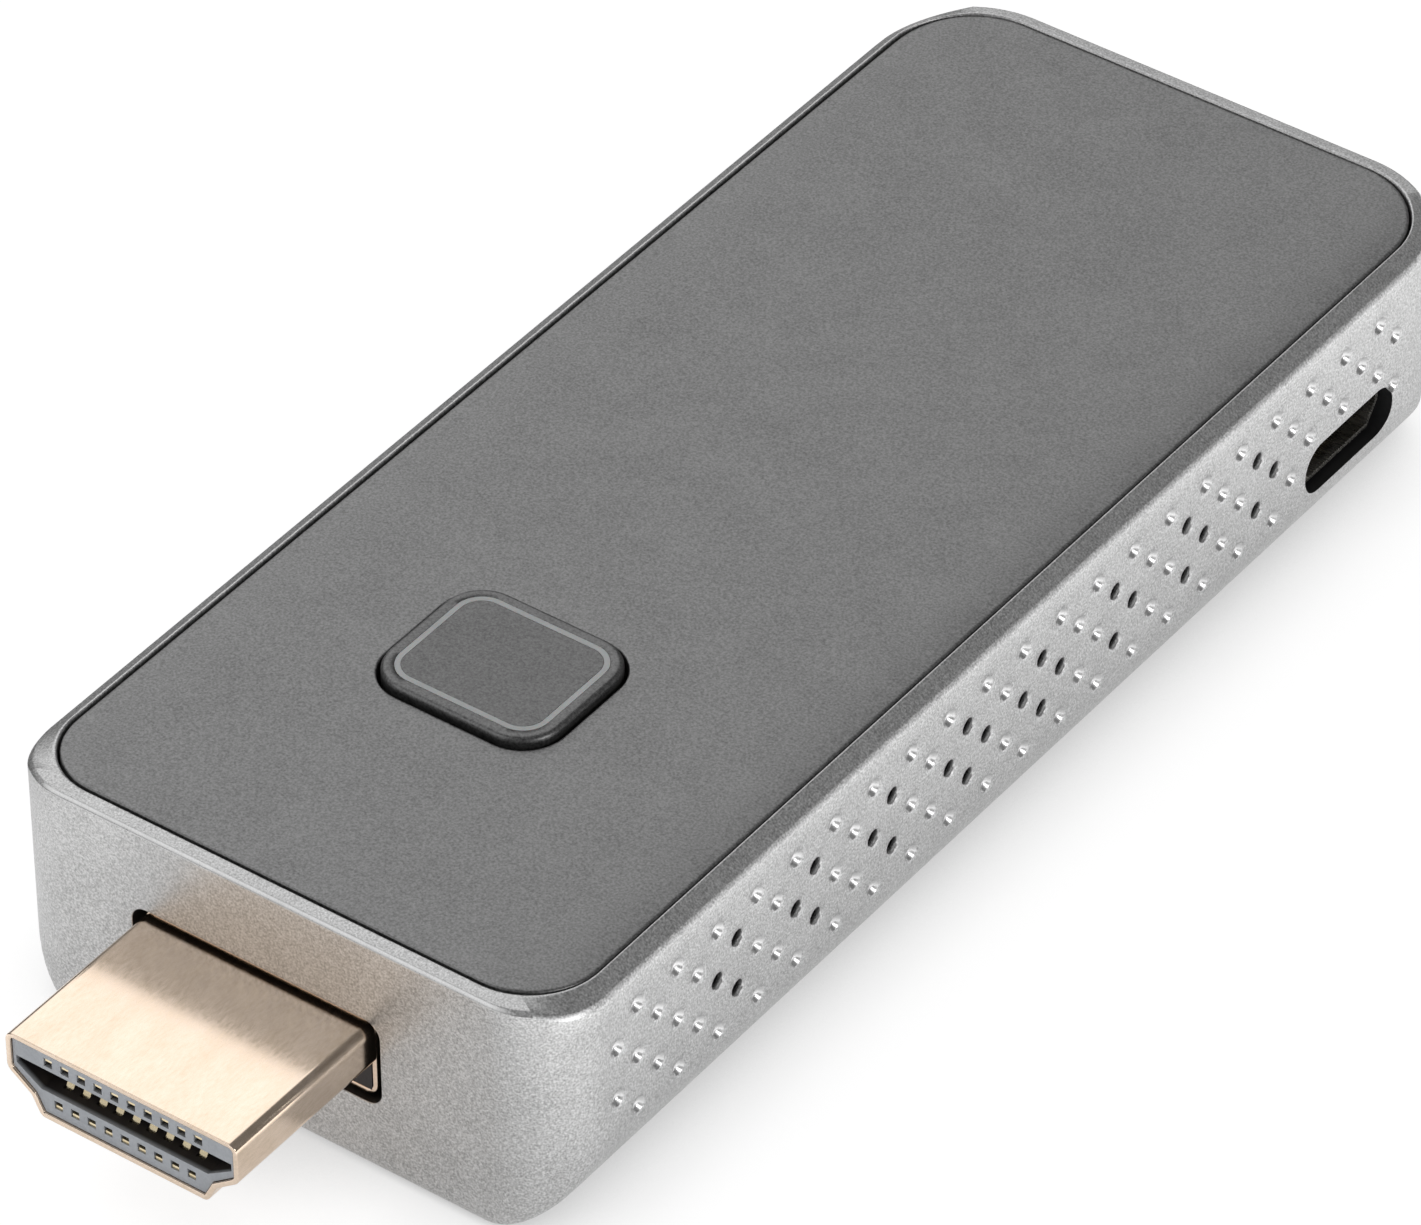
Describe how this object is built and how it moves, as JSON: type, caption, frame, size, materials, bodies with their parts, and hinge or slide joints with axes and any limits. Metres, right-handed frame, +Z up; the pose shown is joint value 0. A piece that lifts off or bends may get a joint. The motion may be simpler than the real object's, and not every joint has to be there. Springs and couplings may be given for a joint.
{
  "type": "wireless hdmi transmitter",
  "caption": "Stick-shaped wireless video transmitter: silver housing, dark inlaid cover, push button with light ring, fixed plug at the end, vented sides and a side power socket.",
  "frame": {"origin": "middle of the whole footprint, on the surface that the transmitter lies on", "axes": "+Z up through the cover, -Y out of the plug, +X towards the wall with the power socket"},
  "size_m": [0.0334, 0.0886, 0.0151],
  "materials": {
    "silver_sprayed_plastic": "fine metallic spray, satin",
    "gunmetal_sprayed_plastic": "fine metallic spray, matte",
    "gunmetal_button_plastic": "fine metallic spray, matte",
    "black_adhesive_tape": "matte",
    "milky_light_guide": "translucent, satin",
    "black_switch_plastic": "matte",
    "ivory_plunger_plastic": "satin",
    "tinned_metal": "satin",
    "lamp_resin": "clear, glossy",
    "pale_gold_plating": "satin plated",
    "grey_insert_plastic": "satin",
    "contact_gold": "polished",
    "nickel_sheet": "satin plated",
    "black_socket_plastic": "matte",
    "board_laminate": "solder mask, semi-gloss",
    "screw_steel": "plated",
    "chip_resin": "moulded, matte",
    "thermal_pad_silicone": "soft, matte",
    "spreader_aluminium": "milled, satin",
    "radio_laminate": "solder mask, semi-gloss",
    "antenna_ceramic": "satin",
    "ferrite_grey": "matte",
    "tantalum_resin": "moulded, matte",
    "ceramic_capacitor": "matte",
    "label_film": "matte film, blank"
  },
  "bodies": {
    "body": {"housing": "silver_sprayed_plastic", "top_cover": "gunmetal_sprayed_plastic", "cover_adhesive": "black_adhesive_tape", "button_switch_body": "black_switch_plastic", "button_switch_terminals": "tinned_metal", "status_leds": "lamp_resin", "plug_front_shell": "pale_gold_plating", "plug_rear_shell": "pale_gold_plating", "plug_insert": "grey_insert_plastic", "plug_upper_contacts": "contact_gold", "plug_lower_contacts": "contact_gold", "power_socket_shell": "nickel_sheet", "power_socket_tongue": "black_socket_plastic", "power_socket_contacts": "contact_gold", "main_board": "board_laminate", "board_screws": "screw_steel", "video_processor": "chip_resin", "processor_thermal_pad": "thermal_pad_silicone", "heat_spreader": "spreader_aluminium", "memory_chips": "chip_resin", "flash_chip": "chip_resin", "radio_board": "radio_laminate", "radio_chip": "chip_resin", "radio_shield": "tinned_metal", "chip_antennas": "antenna_ceramic", "reference_crystals": "tinned_metal", "power_inductors": "ferrite_grey", "power_controllers": "chip_resin", "bulk_capacitors": "tantalum_resin", "small_capacitors": "ceramic_capacitor", "rating_label": "label_film"},
    "button": {"button_cap": "gunmetal_button_plastic", "button_light_ring": "milky_light_guide"},
    "switch_plunger": {"button_switch_plunger": "ivory_plunger_plastic"}
  },
  "joints": [
    {"name": "button_press", "type": "slide", "parent": "body", "child": "button", "axis": [0, 0, -1], "range_m": [0, 0.00025], "stiffness_N_per_m": 3000, "springref_m": -0.0001},
    {"name": "plunger_press", "type": "slide", "parent": "body", "child": "switch_plunger", "axis": [0, 0, -1], "range_m": [0, 0.00025]}
  ],
  "couplings": [
    {"joint": "plunger_press", "follows": "button_press", "ratio": 1}
  ]
}
